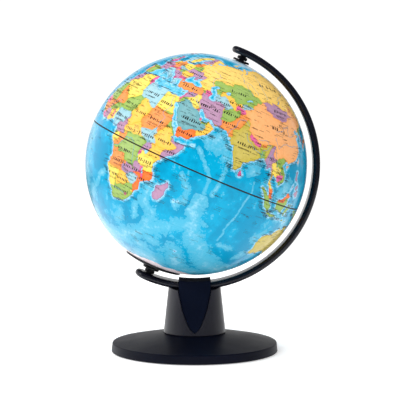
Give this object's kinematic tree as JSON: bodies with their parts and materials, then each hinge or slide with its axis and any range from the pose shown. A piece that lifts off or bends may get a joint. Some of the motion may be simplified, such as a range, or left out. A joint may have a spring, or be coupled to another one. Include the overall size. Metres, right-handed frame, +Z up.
{
  "type": "desktop globe",
  "caption": "Tilted world globe on a C-shaped arm that runs from pole to pole on one side, held by a saddle clip in a cone column on a round weighted base.",
  "frame": {"origin": "centre of the round face that rests on the desk", "axes": "+Z up, +X towards the arm's closed side and the north pole, -Y towards the front of the clip"},
  "size_m": [0.2112, 0.2002, 0.277],
  "materials": {
    "map_print": "printed map under clear varnish, blue sea and coloured countries",
    "stand_plastic": "satin moulded, near-black navy",
    "clip_plastic": "satin moulded, near-black navy",
    "pole_plastic": "satin moulded black",
    "rib_plastic": "matt dark brown",
    "steel": "zinc plated",
    "ballast_steel": "raw plate",
    "pad_foam": "closed-cell foam"
  },
  "bodies": {
    "stand": {"base_pad": "pad_foam", "base_cover": "stand_plastic", "cover_screw_1": "steel", "cover_screw_2": "steel", "cover_screw_3": "steel", "base_ballast": "ballast_steel", "base_shell": "stand_plastic", "column_screw_1": "steel", "column_screw_2": "steel", "column_screw_3": "steel", "column": "stand_plastic", "arm_screw": "steel", "saddle_clip": "clip_plastic", "meridian_arm": "stand_plastic", "north_pivot_post": "stand_plastic", "south_pivot_post": "stand_plastic"},
    "ball": {"north_hemisphere": "map_print", "south_hemisphere": "map_print", "equator_ring": "rib_plastic", "north_pole_collar": "pole_plastic", "south_pole_collar": "pole_plastic", "north_collar_nut": "stand_plastic", "south_collar_nut": "stand_plastic", "south_pole_cap": "pole_plastic"}
  },
  "joints": [
    {"name": "ball_spin", "type": "hinge", "parent": "stand", "child": "ball", "pos_m": [0.00147, 0, 0.17056], "axis": [0.3987, 0, 0.9171], "continuous": true}
  ]
}
